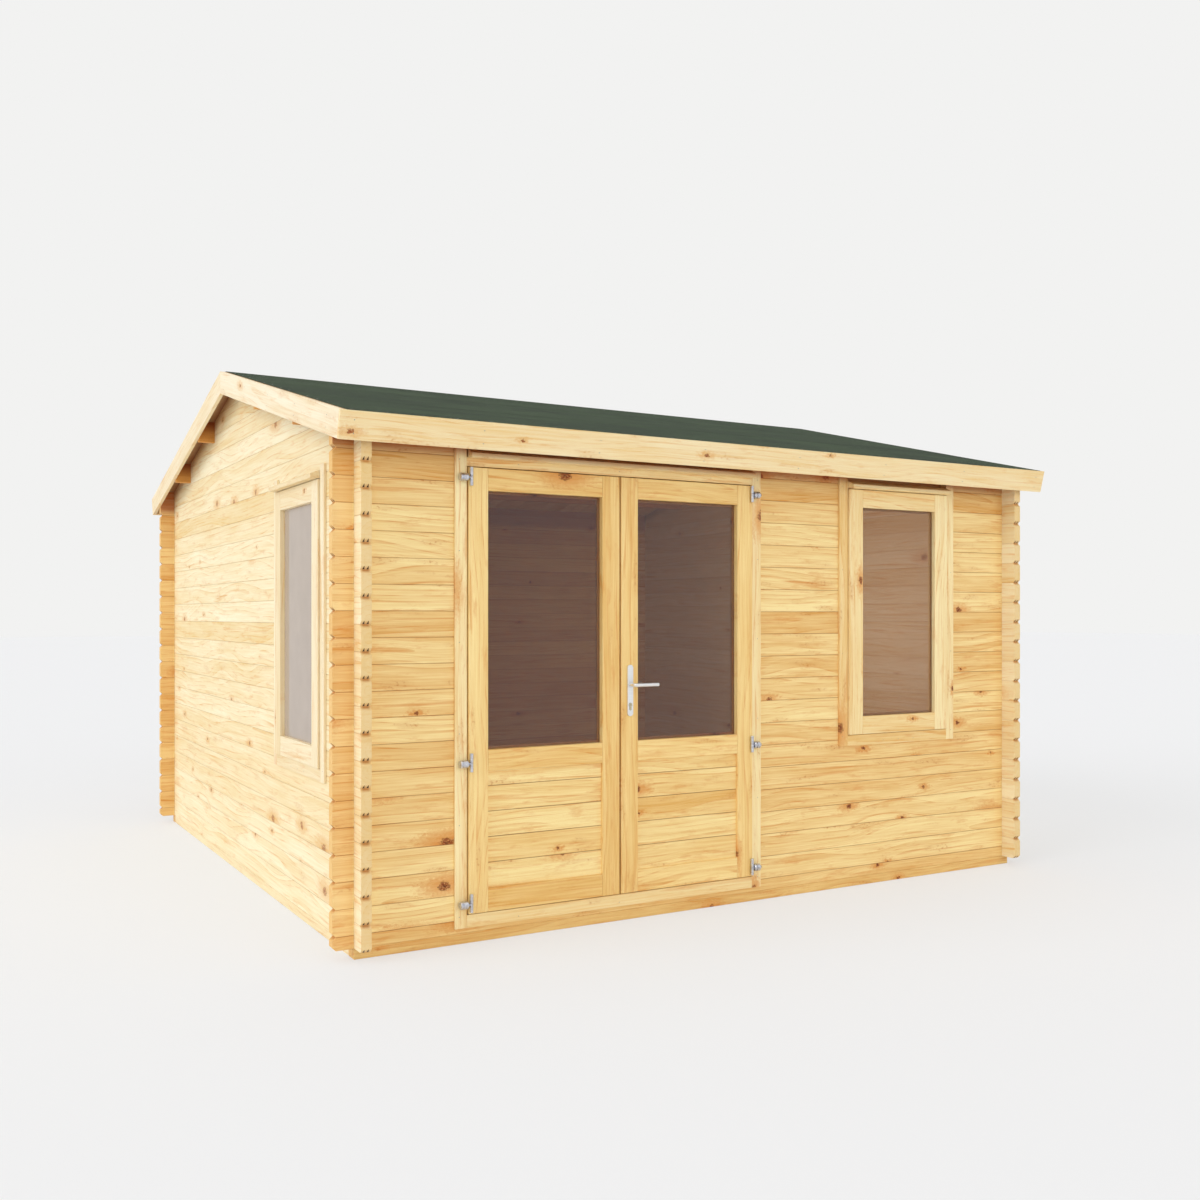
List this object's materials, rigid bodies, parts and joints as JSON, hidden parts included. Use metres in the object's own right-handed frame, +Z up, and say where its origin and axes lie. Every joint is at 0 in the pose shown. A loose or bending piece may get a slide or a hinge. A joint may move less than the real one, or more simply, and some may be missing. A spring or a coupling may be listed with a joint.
{
  "type": "log cabin",
  "caption": "Log cabin with interlocking corner logs, a pitched felt roof, glazed double doors that open outwards, and two glazed windows.",
  "frame": {"origin": "on the ground under the middle of the cabin", "axes": "+X along the eaves front to the right, +Y from the doors to the back, +Z up"},
  "size_m": [4.04, 4.1526, 2.7233],
  "materials": {
    "log_pine": "planed natural pine logs",
    "trim_pine": "planed natural pine boards",
    "joinery_pine": "planed natural pine joinery",
    "panel_pine": "planed natural pine boards",
    "roof_pine": "planed pine beams and boards",
    "floor_pine": "planed pine bearers and floor boards",
    "green_felt": "green mineral-surfaced roofing felt",
    "door_glass": "clear pane",
    "window_glass": "clear pane",
    "hinge_steel": "zinc-plated steel",
    "handle_metal": "satin aluminium"
  },
  "bodies": {
    "cabin": {"back_barge_boards": "trim_pine", "back_fascia": "trim_pine", "back_purlins": "roof_pine", "back_roof_felt": "green_felt", "back_wall": "log_pine", "bearer_frame": "floor_pine", "door_frame": "joinery_pine", "drip_bars": "joinery_pine", "floor_boards": "floor_pine", "front_barge_boards": "trim_pine", "front_fascia": "trim_pine", "front_purlins": "roof_pine", "front_roof_felt": "green_felt", "front_wall_base": "log_pine", "front_wall_header": "log_pine", "front_wall_left": "log_pine", "front_wall_lower_right": "log_pine", "front_wall_middle": "log_pine", "front_wall_right": "log_pine", "front_window_frame": "joinery_pine", "front_window_sash": "joinery_pine", "hinge_barrels": "hinge_steel", "left_gable": "log_pine", "left_wall_front": "log_pine", "left_wall_lower": "log_pine", "left_wall_rear": "log_pine", "left_window_frame": "joinery_pine", "left_window_sash": "joinery_pine", "ridge_purlin": "roof_pine", "right_gable": "log_pine", "right_wall": "log_pine", "roof_boards_back": "roof_pine", "roof_boards_front": "roof_pine", "window_catches": "handle_metal", "window_glass": "window_glass"},
    "left_door": {"left_door_leaf": "joinery_pine", "left_door_glass": "door_glass", "left_door_panel": "panel_pine", "left_door_knuckles": "hinge_steel"},
    "right_door": {"right_door_leaf": "joinery_pine", "right_door_glass": "door_glass", "right_door_panel": "panel_pine", "right_door_knuckles": "hinge_steel", "handle_plates": "handle_metal", "lock_cylinder": "handle_metal"},
    "door_handle": {"door_levers": "handle_metal"}
  },
  "joints": [
    {"name": "left_door_hinge", "type": "hinge", "parent": "cabin", "child": "left_door", "pos_m": [-1.4035, -1.942, 0.128], "axis": [0, 0, -1], "range_deg": [0, 150]},
    {"name": "right_door_hinge", "type": "hinge", "parent": "cabin", "child": "right_door", "pos_m": [0.0855, -1.942, 0.128], "axis": [0, 0, 1], "range_deg": [0, 150]},
    {"name": "door_handle_turn", "type": "hinge", "parent": "right_door", "child": "door_handle", "pos_m": [-0.6095, -1.94, 1.083], "axis": [0, 1, 0], "range_deg": [0, 40], "stiffness_Nm_per_rad": 1.2}
  ]
}
